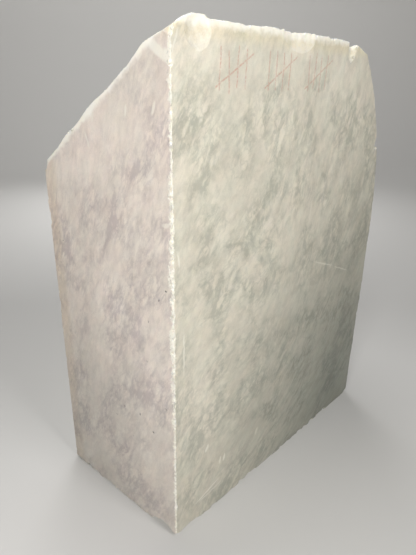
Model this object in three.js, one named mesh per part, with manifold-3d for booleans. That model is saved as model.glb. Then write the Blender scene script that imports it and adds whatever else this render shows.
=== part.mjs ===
// Marble block: an upright piece of white marble, about 0.6 m tall, sawn flat on its front, its back, its left
// end and its foot. Its top is broken off along a slope that falls to the back, and its right end keeps a
// rough, rounded skin that leans in towards the top. It is one stone, so it is one solid.
import * as THREE from "three";
import { ImprovedNoise } from "three/addons/math/ImprovedNoise.js";
import { mergeVertices } from "three/addons/utils/BufferGeometryUtils.js";
import Module from "manifold-3d";

// Driving dimensions, in millimetres and degrees. While it is built, the near foot corner is at x = y = z = 0:
// x runs along the front face, y through the thickness and z up.
const HEIGHT = 611;
const BACK_HEIGHT = 463;
const FRONT_LENGTH = 454;
const THICKNESS = 223;
const END_ANGLE = 92.5;
const TOP_CROWN = 1.5;
const SHOULDER_START = 270;
const SHOULDER_SET_BACK = 104;
const END_BULGE = 15;

// The broken surfaces are cut on a grid of GRID_STEP, a scoop's facets are about FACET wide, and what is cut
// starts, or what cuts ends, SPARE past the stone.
const GRID_STEP = 11;
const FACET = 9;
const SPARE = 40;

// The rounded skin has lumps of several sizes, each with a width and a height.
const LUMPS = [
  { width: 120, rise: 10 },
  { width: 44, rise: 6 },
  { width: 21, rise: 3 },
];

// The broken top has hollow shells, where flakes came away, between ridges. Their middles lie on a square
// grid that is shaken by SHAKE of the pitch, and some are SUNK deeper than others, as a share of their depth.
const SWELL = { width: 150, rise: 13 };
const SHELLS = [
  { pitch: 62, depth: 9 },
  { pitch: 27, depth: 3.5 },
];
const SHAKE = 0.9;
const SUNK = 1.1;

// The roughness fades to EDGE_SHARE of itself where a broken surface meets the front or the back, over
// EDGE_FADE. On the left end's sloping edge, which is rougher, it starts to fade LEFT_LEAD sooner.
const EDGE_SHARE = 0.2;
const EDGE_FADE = 50;
const LEFT_LEAD = 25;

// The layers of the noise that the top and the right end are cut from, and the step from one size to the next.
const TOP_LAYER = 3.7;
const END_LAYER = 40.5;
const LAYER_STEP = 7.3;

// The factors that turn a place on a grid into a number with no visible order.
const SHUFFLE = { column: 12.9898, row: 78.233, layer: 37.719, stretch: 43758.5453 };

// Corners closer together than this are one corner.
const MERGE_WITHIN = 1e-3;

// The top rounds over at its two ends: it starts this far in and drops this much at the very end.
const LEFT_ROUNDING = { reach: 30, drop: 11, depth: 60 };
const RIGHT_ROUNDING = { reach: 58, drop: 8 };

// Its front edge rises to a low peak beside the near corner.
const PEAK = { at: 33, reach: 26, rise: 4, depth: 60 };

// Scoops knocked out of the arrises and faces: the middle of each, its three half widths, and the lean that
// it has about y.
const SCOOPS = [
  // the bruised near corner of the top, broken off towards the left end
  { at: [-97, -22, 643], size: [112, 112, 112], lean: 0 },
  // flat spalls on the front face, just under the top edge
  { at: [34, -9.4, 598], size: [29, 12, 27], lean: 8 },
  { at: [196, -9.3, 607], size: [55, 12, 29], lean: 4 },
  { at: [321, -3, 606], size: [11, 9, 24], lean: 12 },
  // bites out of the top edge
  { at: [51, 0, 614], size: [8, 14, 5], lean: 0 },
  { at: [112, 2, 616], size: [12, 15, 6.5], lean: 0 },
  { at: [150, 0, 615], size: [7, 10, 4.5], lean: 0 },
  { at: [233, 1, 615], size: [8, 12, 5.5], lean: 0 },
  { at: [268, 2, 616], size: [15, 17, 7.5], lean: 0 },
  { at: [313, 3, 613], size: [8, 14, 6], lean: 0 },
  { at: [376, 4, 590], size: [12, 16, 7], lean: 60 },
  { at: [434, 3, 480], size: [6, 12, 14], lean: 20 },
  // bites out of the sloping edge of the left end
  { at: [-2, 66, 578], size: [9, 9, 4.5], lean: 0 },
  { at: [-4, 146, 523], size: [10, 6, 6], lean: 0 },
  { at: [-5, 163, 511], size: [12, 8, 7], lean: 0 },
  { at: [-6, 187, 497], size: [12, 8, 7], lean: 0 },
  { at: [-9, 226, 466], size: [12, 10, 14], lean: 0 },
  { at: [-10, 227, 392], size: [9, 6, 16], lean: 0 },
  { at: [-10, 226, 268], size: [8, 5, 11], lean: 0 },
  // bites out of the foot
  { at: [-3, 24, -3], size: [13, 24, 14], lean: 0 },
  { at: [-4, -4, -4], size: [13, 13, 12], lean: 0 },
  { at: [24, -4, -3], size: [28, 10, 10], lean: 0 },
  { at: [150, -3, -3], size: [12, 10, 8], lean: 0 },
  { at: [127, -3, -4], size: [9, 8, 6], lean: 0 },
  { at: [357, -3, -4], size: [16, 10, 8], lean: 0 },
  { at: [-7, 137, -4], size: [10, 13, 7.5], lean: 0 },
  { at: [-11, 217, -5], size: [10, 12, 8], lean: 0 },
  { at: [452, -2, -2], size: [10, 10, 8], lean: 0 },
];

const wasm = await Module();
wasm.setup();
const noise = new ImprovedNoise();

// The manifold-3d solid of a closed three.js geometry.
function solidOf(geometry) {
  const bare = geometry.clone();
  bare.deleteAttribute("normal");
  bare.deleteAttribute("uv");
  const merged = mergeVertices(bare, MERGE_WITHIN);
  const vertProperties = new Float32Array(merged.attributes.position.array);
  const triVerts = new Uint32Array(merged.index.array);
  return new wasm.Manifold(new wasm.Mesh({ numProp: 3, vertProperties, triVerts }));
}

// The three.js geometry of a finished solid.
function geometryOf(solid) {
  const { vertProperties, triVerts } = solid.getMesh();
  const geometry = new THREE.BufferGeometry();
  geometry.setAttribute("position", new THREE.BufferAttribute(vertProperties, 3));
  geometry.setIndex(new THREE.BufferAttribute(triVerts, 1));
  geometry.computeVertexNormals();
  return geometry;
}

// The sawn slab, before its top and its right end are broken: a plan outline with a slightly open near corner.
function sawnSlab() {
  const skew = THICKNESS / Math.tan(THREE.MathUtils.degToRad(END_ANGLE));
  const farEnd = FRONT_LENGTH + END_BULGE + SPARE;
  const plan = new THREE.Shape();
  plan.moveTo(0, 0);
  plan.lineTo(farEnd, 0);
  plan.lineTo(farEnd, THICKNESS);
  plan.lineTo(skew, THICKNESS);
  plan.closePath();
  return new THREE.ExtrudeGeometry(plan, { depth: HEIGHT + SPARE, bevelEnabled: false });
}

// How much of the lumps' height is left at a distance from the nearest sawn face.
function fade(distance) {
  return EDGE_SHARE + (1 - EDGE_SHARE) * THREE.MathUtils.smoothstep(distance, 0, EDGE_FADE);
}

// Height of the lumps at a place on the rounded skin. Each size of lump has its own layer of the noise.
function lumps(a, b, layer) {
  let height = 0;
  LUMPS.forEach(({ width, rise }, index) => {
    height += rise * noise.noise(a / width, b / width, layer + LAYER_STEP * index);
  });
  return height;
}

// A number between -0.5 and 0.5 that is always the same for one place on a grid.
function scatter(i, j, layer) {
  const turn = SHUFFLE.column * i + SHUFFLE.row * j + SHUFFLE.layer * layer;
  const wave = SHUFFLE.stretch * Math.sin(turn);
  return wave - Math.floor(wave) - 0.5;
}

// Height of the shells of one pitch at a place on the broken top: each is a bowl around its own middle, and
// the lowest bowl at a place is the one that shows.
function shells(a, b, { pitch, depth }, layer) {
  const column = Math.round(a / pitch);
  const row = Math.round(b / pitch);
  let lowest = Infinity;
  for (let i = column - 2; i <= column + 2; i++) {
    for (let j = row - 2; j <= row + 2; j++) {
      const middleA = pitch * (i + SHAKE * scatter(i, j, layer));
      const middleB = pitch * (j + SHAKE * scatter(i, j, layer + 1));
      const sunk = depth * SUNK * scatter(i, j, layer + 2);
      const away = Math.hypot(a - middleA, b - middleB) / pitch;
      lowest = Math.min(lowest, 2 * depth * away ** 2 + sunk);
    }
  }
  return lowest;
}

// Height of the broken top's roughness: a slow swell, and shells of two sizes.
function brokenStone(a, b, layer) {
  let height = SWELL.rise * noise.noise(a / SWELL.width, b / SWELL.width, layer);
  SHELLS.forEach((size, index) => {
    height += shells(a, b, size, layer + LAYER_STEP * index) - size.depth / 2;
  });
  return height;
}

// How far the right end stands from the near corner at a height z, on the front face.
function endReach(z) {
  const rise = Math.max(0, (z - SHOULDER_START) / (HEIGHT - SHOULDER_START));
  return FRONT_LENGTH - SHOULDER_SET_BACK * rise ** 3;
}

// The rough right end: it bulges in the middle of the thickness, and its lumps fade at the front and the back.
function endSurface(y, z) {
  const bulge = END_BULGE * Math.sin((Math.PI * THREE.MathUtils.clamp(y, 0, THICKNESS)) / THICKNESS);
  const rough = lumps(y, z, END_LAYER) * fade(Math.min(y, THICKNESS - y));
  return endReach(z) + bulge + rough;
}

// The broken top: a slope with a slight crown, rounded over at the near corner and along the right end, with
// a low peak on its front edge.
function topSurface(x, y) {
  const along = y / THICKNESS;
  const level = HEIGHT - (HEIGHT - BACK_HEIGHT) * along + 4 * TOP_CROWN * along * (1 - along);
  const left = Math.max(0, 1 - x / LEFT_ROUNDING.reach) * Math.max(0, 1 - y / LEFT_ROUNDING.depth);
  const right = Math.max(0, (x - endReach(level) + RIGHT_ROUNDING.reach) / RIGHT_ROUNDING.reach);
  const peak = Math.max(0, 1 - Math.abs(x - PEAK.at) / PEAK.reach) * Math.max(0, 1 - y / PEAK.depth);
  const rough = brokenStone(x, y, TOP_LAYER) * fade(Math.min(y, x + LEFT_LEAD)) + PEAK.rise * peak;
  return level - LEFT_ROUNDING.drop * left ** 2 - RIGHT_ROUNDING.drop * right ** 2 + rough;
}

// A thick sheet to cut with: its lower face is surface(a, b) over a grid, and its upper face is flat at lid.
function roughSheet([a0, a1], [b0, b1], lid, surface) {
  const columns = Math.round((a1 - a0) / GRID_STEP);
  const rows = Math.round((b1 - b0) / GRID_STEP);
  const sheet = new THREE.BoxGeometry(1, 1, 1, columns, rows, 1);
  const place = sheet.attributes.position;
  for (let i = 0; i < place.count; i++) {
    const a = THREE.MathUtils.lerp(a0, a1, place.getX(i) + 0.5);
    const b = THREE.MathUtils.lerp(b0, b1, place.getY(i) + 0.5);
    const h = place.getZ(i) < 0 ? surface(a, b) : lid;
    place.setXYZ(i, a, b, h);
  }
  return sheet;
}

// The sheet that breaks off the right end has its height along x, so its three axes move on by one.
function turnedToEnd(sheet) {
  const turn = new THREE.Matrix4();
  turn.makeBasis(new THREE.Vector3(0, 1, 0), new THREE.Vector3(0, 0, 1), new THREE.Vector3(1, 0, 0));
  return sheet.applyMatrix4(turn);
}

// One scoop: a ball of flat facets, drawn out to its half widths and leant about y.
function scoop({ at, size, lean }) {
  const detail = Math.ceil(Math.max(...size) / FACET);
  const ball = new THREE.IcosahedronGeometry(1, detail);
  ball.scale(...size);
  ball.rotateY(THREE.MathUtils.degToRad(lean));
  ball.translate(...at);
  return ball;
}

// The marble block: the slab, less what was broken off its top, its right end, its arrises and its foot.
function marbleBlock() {
  const across = [-SPARE, FRONT_LENGTH + END_BULGE + 2 * SPARE];
  const through = [-SPARE / 2, THICKNESS + SPARE / 2];
  const upright = [-SPARE, HEIGHT + 2 * SPARE];
  const top = roughSheet(across, through, HEIGHT + 2 * SPARE, topSurface);
  const end = turnedToEnd(roughSheet(through, upright, FRONT_LENGTH + 4 * SPARE, endSurface));
  let stone = solidOf(sawnSlab()).subtract(solidOf(top)).subtract(solidOf(end));
  for (const row of SCOOPS) {
    stone = stone.subtract(solidOf(scoop(row)));
  }
  return geometryOf(stone);
}

// The finished stone stands on its foot, with the middle of its bounding box over the origin.
const geometry = marbleBlock();
geometry.computeBoundingBox();
const { min, max } = geometry.boundingBox;
geometry.translate(-(min.x + max.x) / 2, -(min.y + max.y) / 2, -min.z);

const marble = new THREE.MeshStandardMaterial({ color: 0xd8d2c2, roughness: 0.6, metalness: 0 });
const block = new THREE.Mesh(geometry, marble);
block.name = "marble_block";

const part = new THREE.Group();
part.add(block);

export default part;
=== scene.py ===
# A marble block about 0.6 m tall, standing on a pale studio floor. It is one stone: sawn flat on its front,
# its back, its left end and its foot, broken along its sloping top, and rough and rounded at its right end.

import math

import bmesh
import bpy
import numpy as np
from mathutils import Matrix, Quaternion, Vector


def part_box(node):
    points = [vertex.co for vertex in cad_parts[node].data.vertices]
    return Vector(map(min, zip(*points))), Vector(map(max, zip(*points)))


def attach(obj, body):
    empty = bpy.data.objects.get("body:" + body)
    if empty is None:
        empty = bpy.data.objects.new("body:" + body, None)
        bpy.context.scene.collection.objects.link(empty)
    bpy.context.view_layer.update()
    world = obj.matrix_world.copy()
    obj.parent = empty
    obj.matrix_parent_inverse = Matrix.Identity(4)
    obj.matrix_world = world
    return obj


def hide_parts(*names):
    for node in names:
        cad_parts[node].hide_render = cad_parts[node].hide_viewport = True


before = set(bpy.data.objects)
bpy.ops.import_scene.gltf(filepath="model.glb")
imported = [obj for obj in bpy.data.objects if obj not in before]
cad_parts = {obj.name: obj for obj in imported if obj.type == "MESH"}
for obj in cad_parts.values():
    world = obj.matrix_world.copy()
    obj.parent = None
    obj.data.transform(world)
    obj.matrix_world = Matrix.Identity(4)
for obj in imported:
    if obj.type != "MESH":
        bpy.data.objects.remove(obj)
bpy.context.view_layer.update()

# ---------------------------------------------------------------------------------------------------------
# The view. Someone stands close to the near arris, with their eyes a little below the top of the stone, and
# looks down on it. The near foot corner is where the front, the left end and the foot would meet.
# ---------------------------------------------------------------------------------------------------------
END_ANGLE = math.radians(92.5)
EYE_FROM_CORNER = Vector((-0.300, -0.330, 0.553))
HEADING = math.radians(43.13)
DIP = math.radians(22.18)
ROLL = math.radians(0.99)
LENS = 30.486
SENSOR = 36

low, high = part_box("marble_block")
thickness = high.y - low.y
near_foot = Vector((low.x - thickness / math.tan(END_ANGLE), low.y, low.z))

camera = bpy.data.objects.new("camera", bpy.data.cameras.new("camera"))
camera.data.lens = LENS
camera.data.sensor_width = SENSOR
camera.location = near_foot + EYE_FROM_CORNER
looking = Vector((math.cos(DIP) * math.cos(HEADING), math.cos(DIP) * math.sin(HEADING), -math.sin(DIP)))
camera.rotation_mode = "QUATERNION"
camera.rotation_quaternion = looking.to_track_quat("-Z", "Y") @ Quaternion((0, 0, 1), ROLL)
bpy.context.scene.collection.objects.link(camera)
bpy.context.scene.camera = camera
bpy.context.scene.view_settings.view_transform = "Standard"


# ---------------------------------------------------------------------------------------------------------
# The light. Two soft lamps, one high in front and one to the left, light the two sides that meet at the near
# arris. A wide one overhead makes the broken rim glow, one faces the wall, and one lights the stone's back.
# ---------------------------------------------------------------------------------------------------------
WORLD_COLOUR = (1.0, 0.99, 0.97, 1)
WORLD_STRENGTH = 0.03


def soft_lamp(name, place, aim, size, power):
    """A square lamp that faces a point, and that no eye sees."""
    lamp = bpy.data.objects.new(name, bpy.data.lights.new(name, "AREA"))
    lamp.data.size = size
    lamp.data.energy = power
    lamp.location = place
    lamp.rotation_mode = "QUATERNION"
    lamp.rotation_quaternion = (aim - place).to_track_quat("-Z", "Y")
    lamp.visible_camera = False
    bpy.context.scene.collection.objects.link(lamp)


middle = (low + high) / 2
soft_lamp(
    "lamp_front", place=near_foot + Vector((0.05, -0.75, 1.0)), aim=near_foot + Vector((0.1, 0, 0.5)),
    size=0.3, power=4.9,
)
soft_lamp(
    "lamp_left", place=near_foot + Vector((-0.70, -0.42, 0.64)), aim=near_foot + Vector((0.15, 0.05, 0.4)),
    size=0.3, power=8.0,
)
soft_lamp("lamp_above", place=middle + Vector((0.1, 0.45, 1.5)), aim=middle, size=0.9, power=11.0)
soft_lamp(
    "lamp_wall", place=middle + Vector((0.7, 0.9, 1.5)), aim=middle + Vector((2.4, 2.6, 0.6)),
    size=0.8, power=32.0,
)
soft_lamp("lamp_behind", place=middle + Vector((1.2, 1.5, 0.8)), aim=middle, size=1.0, power=10.0)

world = bpy.data.worlds.new("studio")
world.use_nodes = True
world.node_tree.nodes["Background"].inputs["Color"].default_value = WORLD_COLOUR
world.node_tree.nodes["Background"].inputs["Strength"].default_value = WORLD_STRENGTH
bpy.context.scene.world = world

# ---------------------------------------------------------------------------------------------------------
# The floor. A plain pale studio floor that sweeps up into a wall all round, with no corner to see. It is one
# outline, from the middle of the floor up the curve to the top of the wall, spun about the upright axis.
# ---------------------------------------------------------------------------------------------------------
FLOOR_REACH = 2.4
COVE_RADIUS = 1.1
WALL_TOP = 2.6
COVE_STEPS = 12
FLOOR_STEPS = 96
FLOOR_COLOUR = (0.62, 0.61, 0.59, 1)
FLOOR_ROUGHNESS = 0.8
JOIN_WITHIN = 1e-5

profile = [Vector((0, 0, 0)), Vector((FLOOR_REACH, 0, 0))]
for step in range(1, COVE_STEPS + 1):
    turn = math.pi / 2 * step / COVE_STEPS
    across = FLOOR_REACH + COVE_RADIUS * math.sin(turn)
    profile.append(Vector((across, 0, COVE_RADIUS * (1 - math.cos(turn)))))
profile.append(Vector((FLOOR_REACH + COVE_RADIUS, 0, WALL_TOP)))

sweep = bmesh.new()
corners = [sweep.verts.new(point) for point in profile]
edges = [sweep.edges.new(pair) for pair in zip(corners, corners[1:])]
bmesh.ops.spin(
    sweep, geom=corners + edges, axis=(0, 0, 1), cent=(0, 0, 0), angle=2 * math.pi, steps=FLOOR_STEPS,
)
bmesh.ops.remove_doubles(sweep, verts=sweep.verts, dist=JOIN_WITHIN)
bmesh.ops.recalc_face_normals(sweep, faces=sweep.faces)
for face in sweep.faces:
    face.smooth = True
floor_mesh = bpy.data.meshes.new("studio_floor")
sweep.to_mesh(floor_mesh)
sweep.free()

floor = bpy.data.objects.new("studio_floor", floor_mesh)
bpy.context.scene.collection.objects.link(floor)
floor_paint = bpy.data.materials.new("floor_paint")
floor_paint.use_nodes = True
floor_paint.node_tree.nodes["Principled BSDF"].inputs["Base Color"].default_value = FLOOR_COLOUR
floor_paint.node_tree.nodes["Principled BSDF"].inputs["Roughness"].default_value = FLOOR_ROUGHNESS
floor_mesh.materials.append(floor_paint)

# ---------------------------------------------------------------------------------------------------------
# The stone's body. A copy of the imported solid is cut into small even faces. Its broken surfaces are softened,
# then roughened as marble breaks, in shallow facets and sugary grains, and its sawn faces stay flat.
# ---------------------------------------------------------------------------------------------------------
SAME_CORNER = 1e-6
FACE_SIZE = 0.0014
FLAT_WITHIN = 0.0003
BREAK_EDGE = 0.003
SOFTENING_PASSES = 3
SOFTENING_PULL = 0.5
BODY_TRIANGLES = 150_000

sawn_faces = {
    "front": (near_foot, Vector((0, -1, 0))),
    "left": (near_foot, Vector((-math.sin(END_ANGLE), math.cos(END_ANGLE), 0))),
    "back": (high, Vector((0, 1, 0))),
    "foot": (near_foot, Vector((0, 0, -1))),
}


class Wire:
    """One output of a node. Sums on wires add Math nodes, and any other node comes from node()."""

    def __init__(self, tree, socket=None):
        self.tree = tree
        self.socket = socket

    def node(self, kind, settings=None, values=None, output=0):
        """A node of that kind. Its settings are set first, then its sockets' values or links."""
        made = self.tree.nodes.new(kind)
        for name, value in (settings or {}).items():
            setattr(made, name, value)
        for name, value in (values or {}).items():
            if isinstance(value, Wire):
                self.tree.links.new(value.socket, made.inputs[name])
            else:
                made.inputs[name].default_value = value
        return Wire(self.tree, made.outputs[output])

    def math(self, operation, *terms):
        return self.node("ShaderNodeMath", {"operation": operation}, dict(enumerate(terms)))

    def __add__(self, other):
        return self.math("ADD", self, other)

    def __radd__(self, other):
        return self.math("ADD", other, self)

    def __sub__(self, other):
        return self.math("SUBTRACT", self, other)

    def __rsub__(self, other):
        return self.math("SUBTRACT", other, self)

    def __mul__(self, other):
        return self.math("MULTIPLY", self, other)

    def __rmul__(self, other):
        return self.math("MULTIPLY", other, self)

    def __truediv__(self, other):
        return self.math("DIVIDE", self, other)

    def __abs__(self):
        return self.math("ABSOLUTE", self)


def shape_tree(name, inputs):
    """An empty Geometry Nodes tree that takes geometry and the named inputs, and a wire to each of them."""
    tree = bpy.data.node_groups.new(name, "GeometryNodeTree")
    tree.is_modifier = True
    tree.interface.new_socket("Geometry", in_out="OUTPUT", socket_type="NodeSocketGeometry")
    tree.interface.new_socket("Geometry", in_out="INPUT", socket_type="NodeSocketGeometry")
    for label, kind in inputs.items():
        tree.interface.new_socket(label, in_out="INPUT", socket_type="NodeSocket" + kind)
    entry = tree.nodes.new("NodeGroupInput")
    return tree, {socket.name: Wire(tree, socket) for socket in entry.outputs if socket.name}


def end_tree(tree, geometry, material):
    """Ends a tree with the instances made real and the material set."""
    real = geometry.node("GeometryNodeRealizeInstances", values={"Geometry": geometry})
    dressed = real.node("GeometryNodeSetMaterial", values={"Geometry": real, "Material": material})
    leave = tree.nodes.new("NodeGroupOutput")
    tree.links.new(dressed.socket, leave.inputs["Geometry"])


def grow(thing, tree, values):
    """The object with the mesh that a tree makes of it. The modifier is taken off again."""
    modifier = thing.modifiers.new(tree.name, "NODES")
    modifier.node_group = tree
    for item in tree.interface.items_tree:
        if item.in_out == "INPUT" and item.name in values:
            modifier[item.identifier] = values[item.name]
    return settled(thing)


def settled(thing):
    """The object with the mesh that its modifiers give, as a plain mesh, and with no modifiers left."""
    thing.update_tag()
    bpy.context.view_layer.update()
    graph = bpy.context.evaluated_depsgraph_get()
    mesh = bpy.data.meshes.new_from_object(thing.evaluated_get(graph), depsgraph=graph)
    thing.modifiers.clear()
    thing.data = mesh
    return thing


def points_of(mesh):
    """The places of a mesh's corners, one row each."""
    flat = np.empty(len(mesh.vertices) * 3, np.float32)
    mesh.vertices.foreach_get("co", flat)
    return flat.reshape(-1, 3).astype(float)


def put_points(mesh, points):
    mesh.vertices.foreach_set("co", points.astype(np.float32).ravel())
    mesh.update()


def depth_under(points, face):
    """How deep each point lies under a sawn face."""
    corner, outward = sawn_faces[face]
    return (np.array(corner) - points) @ np.array(outward)


def kept_inside(points):
    """Points just off a sawn face are laid on it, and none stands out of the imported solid's box."""
    for face, (_, outward) in sawn_faces.items():
        deep = depth_under(points, face)
        moved = np.where(deep < FLAT_WITHIN, deep, 0)
        points = points + moved[:, None] * np.array(outward)
    return np.clip(points, np.array(low), np.array(high))


marble = bpy.data.materials.new("marble")
marble.use_nodes = True

solid = bmesh.new()
solid.from_mesh(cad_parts["marble_block"].data)
bmesh.ops.remove_doubles(solid, verts=solid.verts, dist=SAME_CORNER)
block_mesh = bpy.data.meshes.new("marble_block_stone")
solid.to_mesh(block_mesh)
block = bpy.data.objects.new("marble_block_stone", block_mesh)
bpy.context.scene.collection.objects.link(block)

remesh = block.modifiers.new("even_faces", "REMESH")
remesh.mode = "VOXEL"
remesh.voxel_size = FACE_SIZE
settled(block)

points = kept_inside(points_of(block.data))
depths = np.min([depth_under(points, face) for face in sawn_faces], axis=0)
broken = np.clip(depths / BREAK_EDGE, 0, 1)
on_break = block.data.attributes.new("on_break", "FLOAT", "POINT")
on_break.data.foreach_set("value", broken.astype(np.float32))
group = block.vertex_groups.new(name="on_break")
for index in np.nonzero(broken)[0]:
    group.add([int(index)], float(broken[index]), "REPLACE")
put_points(block.data, points)
soften = block.modifiers.new("soften", "SMOOTH")
soften.factor = SOFTENING_PULL
soften.iterations = SOFTENING_PASSES
soften.vertex_group = "on_break"
settled(block)

skin_tree, skin = shape_tree("broken_skin", {
    "Swell Size": "Float",
    "Swell Rise": "Float",
    "Facet Size": "Float",
    "Facet Rise": "Float",
    "Grain Size": "Float",
    "Grain Rise": "Float",
    "Material": "Material",
})
on_skin = skin["Geometry"].node("GeometryNodeInputPosition")


def bumps(size, detail):
    """Noise between about -1 and 1, with lumps of that size."""
    scale = size.math("DIVIDE", 1, size)
    noise = on_skin.node("ShaderNodeTexNoise", values={"Vector": on_skin, "Scale": scale, "Detail": detail})
    return (noise - 0.5) * 2


facets = on_skin.node(
    "ShaderNodeTexVoronoi",
    values={"Vector": on_skin, "Scale": on_skin.math("DIVIDE", 1, skin["Facet Size"]), "Randomness": 1.0},
)
rise = bumps(skin["Swell Size"], detail=2.0) * skin["Swell Rise"]
rise = rise + (facets - 0.5) * skin["Facet Rise"]
rise = rise + bumps(skin["Grain Size"], detail=3.0) * skin["Grain Rise"]
amount = on_skin.node("GeometryNodeInputNamedAttribute", {"data_type": "FLOAT"}, {"Name": "on_break"})
skin_normal = on_skin.node("GeometryNodeInputNormal")
push = skin_normal.node(
    "ShaderNodeVectorMath", {"operation": "SCALE"}, {"Vector": skin_normal, "Scale": rise * amount},
)
pushed = push.node("GeometryNodeSetPosition", values={"Geometry": skin["Geometry"], "Offset": push})
end_tree(skin_tree, pushed, skin["Material"])
grow(block, skin_tree, {
    "Swell Size": 0.014,
    "Swell Rise": 0.0011,
    "Facet Size": 0.009,
    "Facet Rise": 0.0010,
    "Grain Size": 0.004,
    "Grain Rise": 0.0004,
    "Material": marble,
})
put_points(block.data, kept_inside(points_of(block.data)))

thin = block.modifiers.new("thin", "DECIMATE")
thin.ratio = BODY_TRIANGLES / sum(len(face.vertices) - 2 for face in block.data.polygons)
settled(block)
put_points(block.data, kept_inside(points_of(block.data)))

# A long face that dips just under a sawn face at one end would catch the light as a streak, so it is laid
# flat. All three of these have to hold: it is long, it dips little, and it looks almost the same way.
LONG = 0.012
SHALLOW = 0.002
FACING = 0.8

thinned = bmesh.new()
thinned.from_mesh(block.data)
for face in thinned.faces:
    if max(edge.calc_length() for edge in face.edges) < LONG:
        continue
    for corner, outward in sawn_faces.values():
        deep = [(corner - vert.co).dot(outward) for vert in face.verts]
        if min(deep) < FLAT_WITHIN and max(deep) < SHALLOW and face.normal.dot(outward) > FACING:
            for vert, depth in zip(face.verts, deep):
                vert.co += depth * outward
thinned.to_mesh(block.data)
thinned.free()

# ---------------------------------------------------------------------------------------------------------
# The chips. Every arris has lost small flakes to knocks, most of all the near one, which is bruised along
# its whole height. Each flake is a ball of twenty flat facets, drawn out along the arris and cut away.
# ---------------------------------------------------------------------------------------------------------
ALIGNED = 0.999
NEARLY_ALIGNED = 0.99
ON_FACE = 1e-5
SHARP = math.radians(40)
RIM_FROM = 0.5
LARGE_FACET = 4e-6
TILT = 0.3
SMALLEST_DEPTH = 0.45
SMALLEST_REACH = 0.35
SMALLEST_LENGTH = 0.4
ANY_WAY = math.pi

chips_tree, chip = shape_tree("arris_chips", {
    "Spacing": "Float",
    "Share": "Float",
    "Length": "Float",
    "Reach": "Float",
    "Depth": "Float",
    "Slip": "Float",
    "Spin": "Float",
    "Seed": "Int",
    "Material": "Material",
})
line = chip["Geometry"].node("GeometryNodeMeshToCurve", values={"Mesh": chip["Geometry"]})
spots = line.tree.nodes.new("GeometryNodeCurveToPoints")
spots.mode = "LENGTH"
chips_tree.links.new(line.socket, spots.inputs["Curve"])
chips_tree.links.new(chip["Spacing"].socket, spots.inputs["Length"])
along = Wire(chips_tree, spots.outputs["Points"])
heading = Wire(chips_tree, spots.outputs["Rotation"])


def dice(lowest, highest, draw):
    """A random number between two for each chip. Each draw has its own seed."""
    return along.node(
        "FunctionNodeRandomValue", {"data_type": "FLOAT"},
        {2: lowest, 3: highest, 8: chip["Seed"] * 10 + draw}, 1,
    )


missing = along.node(
    "FunctionNodeRandomValue", {"data_type": "BOOLEAN"}, {6: 1 - chip["Share"], 8: chip["Seed"] * 10}, 3,
)
some = along.node(
    "GeometryNodeDeleteGeometry", {"domain": "POINT"}, {"Geometry": along, "Selection": missing},
)
back = chip["Slip"] * -1
slip = along.node(
    "ShaderNodeCombineXYZ",
    values={
        "X": dice(back, chip["Slip"], 1),
        "Y": dice(back, chip["Slip"], 2),
        "Z": dice(back, chip["Slip"], 3),
    },
)
moved = some.node("GeometryNodeSetPosition", values={"Geometry": some, "Offset": slip})
tilt = along.node(
    "ShaderNodeCombineXYZ",
    values={"X": dice(-TILT, TILT, 4), "Y": dice(-TILT, TILT, 5), "Z": chip["Spin"] * dice(-1.0, 1.0, 6)},
)
turned = heading.node(
    "FunctionNodeRotateRotation",
    {"rotation_space": "LOCAL"},
    {"Rotation": heading, "Rotate By": tilt.node("FunctionNodeEulerToRotation", values={"Euler": tilt})},
)
size = along.node(
    "ShaderNodeCombineXYZ",
    values={
        "X": chip["Depth"] * dice(SMALLEST_DEPTH, 1.0, 7),
        "Y": chip["Reach"] * dice(SMALLEST_REACH, 1.0, 8),
        "Z": chip["Length"] * dice(SMALLEST_LENGTH, 1.0, 9),
    },
)
flake = along.node("GeometryNodeMeshIcoSphere", values={"Radius": 1.0, "Subdivisions": 1})
flakes = along.node(
    "GeometryNodeInstanceOnPoints",
    values={"Points": moved, "Instance": flake, "Rotation": turned, "Scale": size},
)
real_flakes = flakes.node("GeometryNodeRealizeInstances", values={"Geometry": flakes})
marked = flakes.node(
    "GeometryNodeStoreNamedAttribute",
    {"data_type": "FLOAT", "domain": "FACE"},
    {"Geometry": real_flakes, "Name": "flake", "Value": 1.0},
)
end_tree(chips_tree, marked, chip["Material"])


def sawn_face(face):
    """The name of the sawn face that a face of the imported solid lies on, or None on a broken surface."""
    for name, (corner, outward) in sawn_faces.items():
        if face.normal.dot(outward) > ALIGNED and abs((face.verts[0].co - corner).dot(outward)) < ON_FACE:
            return name
    return None


other_arrises = []
top_arris = []
foot_arris = []
for edge in solid.edges:
    sides = {sawn_face(face) for face in edge.link_faces}
    ends = [corner.co.copy() for corner in edge.verts]
    if len(sides) == 2 and sides != {"front", "left"} and edge.calc_face_angle() > SHARP:
        other_arrises.append(ends)
        if sides == {"front", None} and ends[0].z > near_foot.z + RIM_FROM:
            top_arris.append(ends)
        if "foot" in sides:
            foot_arris.append(ends)
solid.free()


def wires(name, pieces):
    """A mesh of bare edges, joined end to end, to string chips along."""
    net = bmesh.new()
    for start, end in pieces:
        net.edges.new((net.verts.new(start), net.verts.new(end)))
    bmesh.ops.remove_doubles(net, verts=net.verts, dist=JOIN_WITHIN)
    mesh = bpy.data.meshes.new(name)
    net.to_mesh(mesh)
    net.free()
    thing = bpy.data.objects.new(name, mesh)
    bpy.context.scene.collection.objects.link(thing)
    return thing


def upright(start, end):
    """A stretch of the near arris between two heights."""
    return [(near_foot + Vector((0, 0, start)), near_foot + Vector((0, 0, end)))]


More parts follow.
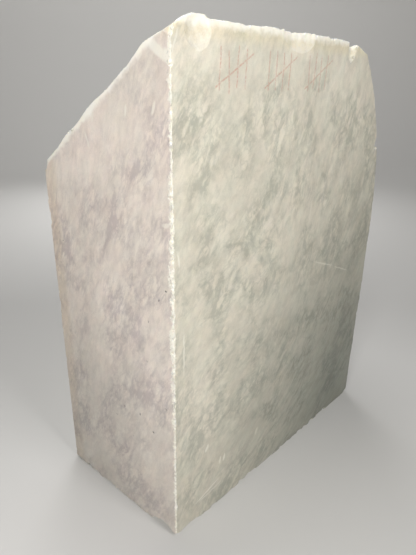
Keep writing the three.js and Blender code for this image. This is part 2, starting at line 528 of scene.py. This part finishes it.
CHIPPING = [
    # the near arris: small flakes all the way up, wide shallow ones half way up, and a few deep nicks
    (upright(0.012, 0.572), {
        "Spacing": 0.0052, "Share": 0.92, "Length": 0.0036, "Reach": 0.0042, "Depth": 0.0016,
        "Slip": 0.0007, "Spin": 0.5, "Seed": 1,
    }),
    (upright(0.20, 0.47), {
        "Spacing": 0.009, "Share": 0.8, "Length": 0.0062, "Reach": 0.0080, "Depth": 0.0017,
        "Slip": 0.0012, "Spin": 0.25, "Seed": 2,
    }),
    (upright(0.02, 0.57), {
        "Spacing": 0.034, "Share": 0.75, "Length": 0.0042, "Reach": 0.0036, "Depth": 0.0030,
        "Slip": 0.0012, "Spin": ANY_WAY, "Seed": 3,
    }),
    # the broken rim above the front
    (top_arris, {
        "Spacing": 0.0085, "Share": 0.7, "Length": 0.0060, "Reach": 0.0024, "Depth": 0.0018,
        "Slip": 0.0012, "Spin": ANY_WAY, "Seed": 6,
    }),
    # the arrises the stone stands on
    (foot_arris, {
        "Spacing": 0.017, "Share": 0.75, "Length": 0.0120, "Reach": 0.0078, "Depth": 0.0066,
        "Slip": 0.0018, "Spin": ANY_WAY, "Seed": 7,
    }),
    # every other arris
    (other_arrises, {
        "Spacing": 0.011, "Share": 0.6, "Length": 0.0048, "Reach": 0.0020, "Depth": 0.0017,
        "Slip": 0.0012, "Spin": ANY_WAY, "Seed": 4,
    }),
    (other_arrises, {
        "Spacing": 0.043, "Share": 0.6, "Length": 0.011, "Reach": 0.0040, "Depth": 0.0030,
        "Slip": 0.002, "Spin": ANY_WAY, "Seed": 5,
    }),
]
for arrises, sizes in CHIPPING:
    cutter = grow(wires("chips", arrises), chips_tree, {**sizes, "Material": marble})
    cut = block.modifiers.new("chip", "BOOLEAN")
    cut.operation = "DIFFERENCE"
    cut.solver = "MANIFOLD"
    cut.object = cutter
    settled(block)
    bpy.data.objects.remove(cutter)


def loose_bits(shape):
    """Crumbs that the chips cut free: every corner that isn't joined to the largest body."""
    unseen = set(shape.verts)
    bodies = []
    while unseen:
        body = [unseen.pop()]
        for corner in body:
            for edge in corner.link_edges:
                other = edge.other_vert(corner)
                if other in unseen:
                    unseen.remove(other)
                    body.append(other)
        bodies.append(body)
    bodies.sort(key=len)
    return [corner for body in bodies[:-1] for corner in body]


whole = bmesh.new()
whole.from_mesh(block.data)
bmesh.ops.delete(whole, geom=loose_bits(whole), context="VERTS")
bmesh.ops.triangulate(whole, faces=whole.faces)

# A face counts as sawn if it lies on a sawn face, or touches one and looks almost the same way.
is_broken = whole.faces.layers.float.new("broken")
for face in whole.faces:
    flat = False
    for corner, outward in sawn_faces.values():
        off = [abs((vert.co - corner).dot(outward)) for vert in face.verts]
        facing = face.normal.dot(outward) > NEARLY_ALIGNED
        flat = flat or max(off) < FLAT_WITHIN or (min(off) < FLAT_WITHIN and facing)
    face[is_broken] = 0.0 if flat else 1.0
    face.smooth = not flat and face.calc_area() < LARGE_FACET
whole.to_mesh(block.data)
whole.free()

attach(block, "root")
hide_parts("marble_block")

# ---------------------------------------------------------------------------------------------------------
# The marble itself. Warm white, with cream and grey-green clouds and a network of soft grey veins, all drawn
# out along its beds and running through it from face to face. Lengths here are in millimetres, measured from
# the near foot corner.
# ---------------------------------------------------------------------------------------------------------
CREAM = (0.690, 0.648, 0.542, 1)
END_TINT = (1.0, 0.958, 1.01, 1)
GREEN_VEIN = (0.67, 0.695, 0.69, 1)
LILAC_VEIN = (0.72, 0.705, 0.75, 1)
CRUSHED = (0.80, 0.775, 0.685, 1)
# The colour of the painted highlight along the broken rim.
RIM_HIGHLIGHT = (0.90, 0.87, 0.775, 1)
WARM = (1.010, 0.993, 0.990, 1)
COOL = (0.990, 1.005, 1.000, 1)
YELLOW = (1.05, 1.0, 0.84, 1)
BEIGE = (0.92, 0.84, 0.72, 1)
# The colour of the painted shade low down on the stone.
SHADE_TINT = (0.42, 0.455, 0.455, 1)
# A pale tint for the paler clouds, and for the painted light high on the front.
PALE_AND_LIT = (1.13, 1.125, 1.14, 1)
PIT = (0.10, 0.09, 0.08, 1)
CRAYON = (0.52, 0.20, 0.14, 1)
PER_METRE = 1000
CLOUD_CONTRAST = 0.24
PATCH_CONTRAST = 0.30
MOTTLE_CONTRAST = 0.26
FIBRE_CONTRAST = 0.07
GRAIN_CONTRAST = 0.20
SAWN_ROUGHNESS = 0.5
ROUGHER_BREAK = 0.25
GLOW_DEPTH = 0.004

tree = marble.node_tree
paint = Wire(tree)
in_metres = paint.node("ShaderNodeTexCoord", output=3)
place = paint.node(
    "ShaderNodeMapping", {"vector_type": "POINT"},
    {"Vector": in_metres, "Scale": [PER_METRE] * 3, "Location": -PER_METRE * near_foot},
)
split = tree.nodes.new("ShaderNodeSeparateXYZ")
tree.links.new(place.socket, split.inputs[0])
x, y, z = (Wire(tree, socket) for socket in split.outputs)


def between(value, start, end):
    """A mask that eases from 0 at the start to 1 at the end."""
    return paint.node(
        "ShaderNodeMapRange", {"interpolation_type": "SMOOTHSTEP"},
        {"Value": value, "From Min": start, "From Max": end},
    )


def mixed(mask, first, second, blend="MIX"):
    """The second colour over the first, where the mask says."""
    return paint.node(
        "ShaderNodeMix", {"data_type": "RGBA", "blend_type": blend}, {0: mask, 6: first, 7: second}, 2,
    )


def noise(vector, size=1.0, detail=2.0, roughness=0.5, distortion=0.0):
    """Noise from 0 to 1, with lumps of that size."""
    return paint.node(
        "ShaderNodeTexNoise",
        values={
            "Vector": vector, "Scale": 1 / size, "Detail": detail, "Roughness": roughness,
            "Distortion": distortion,
        },
    )


# The beds lean one way on the front and the other way on the left end. Past the near arris they stand up
# straighter on the front, and they curl over near the foot.
LEAN_INWARD = 1.19
LEAN_UPWARD = 0.5
STRAIGHTER = 0.3
CURL = 234
CURL_HEIGHT = 180
CURL_SHIFT = 210

bend = -STRAIGHTER * z - CURL * paint.math("EXPONENT", z * (-1 / CURL_HEIGHT)) + CURL_SHIFT
across_beds = x - LEAN_INWARD * y - LEAN_UPWARD * z - bend * between(x, 0, 200)


def beds(width, stretch, offset):
    """A place to read noise at, drawn out along the beds."""
    return paint.node(
        "ShaderNodeCombineXYZ",
        values={
            "X": across_beds * (1 / width) + offset,
            "Y": z * (1 / (width * stretch)),
            "Z": (x + y) * (1 / (width * stretch)),
        },
    )


def veins(vector, half_width, detail=4.0):
    """Winding lines where the noise crosses its middle value."""
    level = noise(vector, detail=detail, roughness=0.6, distortion=0.35)
    return between(abs(level - 0.5), half_width, 0.0)


clouds = noise(place, 140, 2.0)
patches = noise(beds(36, 1.8, 3.1), detail=3.0, roughness=0.55, distortion=0.4)
mottle = noise(beds(13, 1.5, 7.7), detail=5.0, roughness=0.7, distortion=0.4)
tint = noise(beds(24, 1.6, 17.3), detail=4.0, roughness=0.6, distortion=0.3)
fibres = noise(beds(2.6, 5.0, 1.3), detail=2.0, roughness=0.6)
grains = noise(place, 1.4, 2.0, 0.7)
crowding = between(noise(place, 60, 3.0), 0.36, 0.66)
network = veins(beds(30, 1.8, 11.9), 0.10) * 0.5 + veins(beds(12, 1.8, 5.3), 0.08) * 0.42
smudges = between(mottle, 0.62, 0.30)
from_end = x - y * (1 / math.tan(END_ANGLE))
on_end = between(from_end, 1.5, 0.3)

tone = 1 + (clouds - 0.5) * CLOUD_CONTRAST + (patches - 0.5) * PATCH_CONTRAST
tone = tone + (mottle - 0.5) * MOTTLE_CONTRAST
tone = tone + (fibres - 0.5) * FIBRE_CONTRAST + (grains - 0.5) * GRAIN_CONTRAST
colour = mixed(on_end, CREAM, tuple(a * b for a, b in zip(CREAM, END_TINT)))
colour = mixed(1.0, colour, mixed(between(tint, 0.36, 0.64), COOL, WARM), "MULTIPLY")
colour = paint.node("ShaderNodeVectorMath", {"operation": "SCALE"}, {0: colour, "Scale": tone})


MARK_DEPTH = 9


def mark(places, face, middle_of_mark, half_length, half_width, angle, softness):
    """A soft-edged streak on the front or the left end, at an angle from level in degrees."""
    along_face, height = middle_of_mark
    lean = -math.radians(angle)
    if face == "front":
        spot = (along_face, 0, height)
        turned = (0, lean, 0)
    else:
        spot = (along_face * math.cos(END_ANGLE), along_face * math.sin(END_ANGLE), height)
        turned = (0, lean, END_ANGLE)
    stretch = (half_length, MARK_DEPTH, half_width)
    away = paint.node(
        "ShaderNodeMapping", {"vector_type": "TEXTURE"},
        {"Vector": places, "Location": spot, "Rotation": turned, "Scale": stretch},
    )
    reach = paint.node("ShaderNodeVectorMath", {"operation": "LENGTH"}, {0: away}, 1)
    return between(reach, 1.0, 1.0 - softness)


def strongest(places, marks, softness):
    """The strongest of several marks at each place. A mark's last number is its strength."""
    found = 0.0
    for *where, strength in marks:
        one = mark(places, *where, softness) * strength
        found = one.math("MAXIMUM", one, found)
    return found


def shaken(reach, size):
    """Places moved a little by noise, so that what is drawn at them has ragged edges."""
    drift = paint.node(
        "ShaderNodeTexNoise", values={"Vector": place, "Scale": 1 / size, "Detail": 2.0}, output=1,
    )
    pushed = paint.node("ShaderNodeVectorMath", {"operation": "SUBTRACT"}, {0: drift, 1: (0.5, 0.5, 0.5)})
    return paint.node(
        "ShaderNodeVectorMath", {"operation": "MULTIPLY_ADD"}, {0: pushed, 1: [2 * reach] * 3, 2: place},
    )


# Darker veins and clouds that stand out: face, middle, half length, half width, angle from level, strength.
cloudy = shaken(14, 30)
DARK_CLOUDS = [
    ("front", (388, 110), 150, 48, 68, 0.60),
    ("front", (404, 300), 130, 40, 80, 0.40),
    ("front", (392, 400), 90, 34, 84, 0.55),
    ("front", (26, 436), 60, 22, 86, 0.50),
    ("front", (229, 522), 26, 7, -68, 0.75),
    ("front", (256, 478), 44, 7, -65, 0.35),
    ("front", (280, 438), 16, 8, -63, 0.65),
    ("front", (36, 450), 40, 18, 66, 0.75),
    ("front", (52, 400), 42, 17, 62, 0.45),
    ("front", (24, 372), 24, 12, 70, 0.55),
    ("front", (110, 378), 28, 8, -40, 0.50),
    ("front", (148, 352), 16, 9, -50, 0.60),
    ("front", (66, 318), 34, 12, 62, 0.50),
    ("front", (70, 170), 48, 10, 50, 0.35),
    ("left", (100, 405), 56, 17, 112, 0.50),
    ("left", (52, 472), 36, 15, 170, 0.50),
    ("left", (186, 356), 30, 11, 100, 0.45),
    ("left", (60, 290), 48, 22, 112, 0.45),
    ("left", (168, 262), 44, 20, 105, 0.40),
    ("left", (64, 196), 40, 16, 175, 0.30),
]
dark = strongest(cloudy, DARK_CLOUDS, 0.9)
dark = dark * (0.6 + 0.7 * network) * (1 + 0.4 * on_end)
vein_amount = network * (0.3 + 0.9 * crowding) + smudges * (0.12 + 0.28 * crowding) + dark

# The top falls evenly from its front edge to the back, and the veins fade towards it.
FRONT_EDGE = 611
TOP_FALL = 0.6637
under_top = FRONT_EDGE - TOP_FALL * y - z
vein_amount = paint.math("MINIMUM", vein_amount, 1.25) * (0.5 + 0.5 * between(under_top, 10, 100))
colour = mixed(vein_amount, colour, mixed(on_end, GREEN_VEIN, LILAC_VEIN), "MULTIPLY")

# Paler clouds, where the beds have fewer veins or a blow has bruised the stone, and painted light high on the
# front, over the spalls under the broken rim and along its top edge, where they catch the light from above.
PALE_AND_LIT_CLOUDS = [
    ("front", (38, 588), 26, 17, 60, 0.55),
    ("front", (60, 574), 22, 12, -55, 0.45),
    ("front", (203, 596), 46, 14, -8, 1.0),
    ("front", (40, 190), 130, 60, 90, 0.9),
    ("left", (36, 250), 130, 60, 90, 0.5),
    ("left", (110, 310), 70, 50, 90, 0.6),
    ("front", (300, 560), 70, 60, 0, 0.6),
    ("left", (150, 490), 120, 60, -38, 0.75),
    ("front", (60, 600), 100, 22, -5, 0.4),
]
pale = strongest(cloudy, PALE_AND_LIT_CLOUDS, 0.8)
# The paler clouds and the painted light brighten the colour.
colour = mixed(pale, colour, PALE_AND_LIT, "MULTIPLY")


def gloom(heart, reach):
    """How far inside a large soft cloud a place is, from 0 to 1."""
    away = paint.node(
        "ShaderNodeMapping", {"vector_type": "TEXTURE"},
        {"Vector": cloudy, "Location": heart, "Scale": reach},
    )
    return between(paint.node("ShaderNodeVectorMath", {"operation": "LENGTH"}, {0: away}, 1), 1.0, 0.08)


# Painted shade: the stone is made darker low down towards its right end, and a little so low on its left end,
# where less light falls.
shade_low_right = gloom((440, 0, 0), (480, 400, 520))
shade_low_left = gloom((0, 223, 40), (330, 330, 330)) * 0.5
painted_shade = paint.math("MAXIMUM", shade_low_right, shade_low_left)
# The painted shade darkens the colour.
colour = mixed(painted_shade, colour, SHADE_TINT, "MULTIPLY")

# A yellowish fringe under the broken rim, and a beige one down the left end's far arris.
uneven = (noise(place, 18, 3.0) - 0.5) * 16
fringe = between(under_top + uneven, 24, 10) * between(y, 14, 4)
colour = mixed(fringe * 0.55, colour, YELLOW, "MULTIPLY")
far_band = between(y + uneven, 194, 210) * on_end
colour = mixed(far_band * 0.4, colour, BEIGE, "MULTIPLY")

# Faint red crayon: three tallies of four upright strokes and a slanting one, as a yard counts its blocks.
TALLY_PITCH = 78
STROKE_PITCH = 13
TALLIES_FROM = 58
TALLIES_LENGTH = 224
STROKE_MIDDLE = 568
HALF_STROKE = 21
SLASH_ALONG = 27
SLASH_MIDDLE = 567
from_first = x - TALLIES_FROM + (noise(place, 30, 2.0) - 0.5) * 5
tally = paint.math("FLOOR", from_first / TALLY_PITCH)
in_tally = from_first - tally * TALLY_PITCH
stroke = paint.math("FLOOR", in_tally / STROKE_PITCH)
chance = paint.node("ShaderNodeTexWhiteNoise", {"noise_dimensions": "1D"}, {"W": tally * 7 + stroke})
leaning = (chance - 0.5) * 0.16
raised = z - STROKE_MIDDLE - (chance - 0.5) * 7
from_stroke = abs(in_tally - stroke * STROKE_PITCH - STROKE_PITCH / 2 - leaning * raised)
upright_strokes = between(from_stroke, 1.3, 0.4) * between(abs(raised), HALF_STROKE, HALF_STROKE - 3)
upright_strokes = upright_strokes * between(stroke, 3.6, 3.4)
from_slash = abs((z - SLASH_MIDDLE) * 0.9 - (in_tally - SLASH_ALONG) * 0.52)
slash = between(from_slash, 1.3, 0.5) * between(abs(in_tally - SLASH_ALONG), 32, 29)
drawn = paint.math("MAXIMUM", upright_strokes, slash)
drawn = drawn * between(from_first, 0, 1) * between(from_first, TALLIES_LENGTH, TALLIES_LENGTH - 2)
rubbed = between(noise(place, 3.0, 3.0, 0.7), 0.34, 0.56) * (0.22 + 0.5 * noise(place, 25, 2.0))
colour = mixed(drawn * rubbed * between(y, 3, 1), colour, CRAYON)

# Scratches and blows that crushed the crystals white, listed as the clouds are.
WHITE_MARKS = [
    ("left", (16, 582), 24, 6, 34, 0.75),
    ("left", (4, 576), 10, 5, 60, 0.8),
    ("front", (5, 587), 16, 1.6, 68, 0.5),
    ("front", (8, 388), 11, 1.5, 98, 0.8),
    ("front", (15, 274), 36, 1.4, 90, 0.8),
    ("front", (56, 114), 8, 3.2, 62, 0.8),
    ("front", (83, 76), 8, 2.4, 80, 0.75),
    ("front", (91, 76), 8, 2.4, 80, 0.75),
    ("front", (163, 77), 9, 3.0, 70, 0.35),
    ("front", (58, 38), 34, 1.4, 16, 0.75),
    ("front", (66, 33), 30, 1.2, 8, 0.6),
    ("front", (308, 306), 38, 1.6, -20, 0.40),
    ("front", (366, 283), 30, 1.5, -22, 0.35),
    ("front", (340, 318), 22, 1.4, 80, 0.30),
    ("front", (255, 393), 26, 1.5, 89, 0.30),
    ("front", (284, 410), 60, 1.5, 84, 0.25),
    ("left", (63, 529), 8, 1.8, 100, 0.6),
    ("left", (130, 497), 12, 2.0, 68, 0.55),
    ("left", (23, 533), 9, 2.2, 110, 0.6),
    ("left", (117, 523), 10, 3.0, 100, 0.35),
    ("left", (9, 424), 8, 3.0, 170, 0.45),
]
scuffs = strongest(shaken(1.2, 6), WHITE_MARKS, 0.5)

# The near arris is bruised white in a ragged band, twice as wide on the left end's side as on the front.
side_reach = from_end * 2 + 0.957 * y + (noise(place, 3.6, 2.0, 0.6) - 0.5) * 6
widest = between(z, 180, 260) * between(z, 470, 420)
band = (noise(place, 22, 3.0, 0.75) - 0.26) * (15 + 9 * widest)
bruise = between(side_reach, band, band - 2.5) * between(z, 596, 586)
# A painted highlight: a pale band along the broken rim above the front, where the rim catches the light from
# above and glows.
rim_highlight = between(under_top + (noise(place, 9, 2.0) - 0.5) * 10, 11, 3)


def face_value(name):
    """A number that the mesh holds for each face."""
    return paint.node(
        "ShaderNodeAttribute", {"attribute_type": "GEOMETRY", "attribute_name": name}, output=2,
    )


broken_face = face_value("broken")
flake_face = face_value("flake")
patchy = noise(place, 6, 3.0, 0.7)
sugary = broken_face * 0.4 * between(patchy, 0.38, 0.68)
crushed = paint.math("MAXIMUM", sugary, flake_face * (0.1 + 0.75 * between(patchy, 0.36, 0.60)))
crushed = paint.math("MAXIMUM", crushed, bruise * between(patchy, 0.30, 0.52))
crushed = paint.math("MAXIMUM", crushed, scuffs)
colour = mixed(paint.math("MINIMUM", crushed, 1.0), colour, CRUSHED)
# The painted rim highlight is laid over the colour.
colour = mixed(rim_highlight * 0.9, colour, RIM_HIGHLIGHT)
gaps = between(noise(place, 2.4), 0.42, 0.34) * between(side_reach, band + 1.5, band - 1.0)
colour = mixed(gaps * 0.6, colour, GREEN_VEIN, "MULTIPLY")

# Small dark pits on the left end, listed as the clouds are.
PITS = [
    ("left", (11, 352), 2.0, 1.4, 0, 1.0),
    ("left", (22, 338), 2.3, 1.3, 110, 0.8),
    ("left", (40, 306), 2.4, 1.0, 100, 0.6),
    ("left", (92, 164), 2.8, 1.5, 90, 0.7),
    ("left", (62, 167), 2.8, 1.6, 95, 0.8),
    ("left", (38, 152), 2.4, 1.6, 20, 1.0),
    ("left", (198, 367), 1.8, 1.3, 0, 0.6),
    ("left", (45, 252), 2.0, 1.2, 30, 0.5),
    ("left", (14, 199), 2.4, 1.4, 60, 0.6),
    ("left", (110, 142), 2.6, 1.4, 10, 0.5),
    ("left", (78, 124), 2.2, 1.2, 80, 0.4),
]
pits = strongest(place, PITS, 0.6)
colour = mixed(pits * 0.85, colour, PIT)

shader = tree.nodes["Principled BSDF"]
tree.links.new(colour.socket, shader.inputs["Base Color"])
roughness = SAWN_ROUGHNESS + ROUGHER_BREAK * broken_face + (mottle - 0.5) * 0.2
tree.links.new(roughness.socket, shader.inputs["Roughness"])
relief = (noise(place, 0.9, 2.0) - 0.5) * (0.05 + 0.35 * broken_face) + (fibres - 0.5) * 0.05 - pits * 0.6
bump = paint.node("ShaderNodeBump", values={"Strength": 1.0, "Distance": 0.001, "Height": relief})
tree.links.new(bump.socket, shader.inputs["Normal"])
shader.inputs["Subsurface Weight"].default_value = 0.5
shader.inputs["Subsurface Scale"].default_value = GLOW_DEPTH
shader.inputs["Subsurface Radius"].default_value = (1.0, 0.85, 0.6)
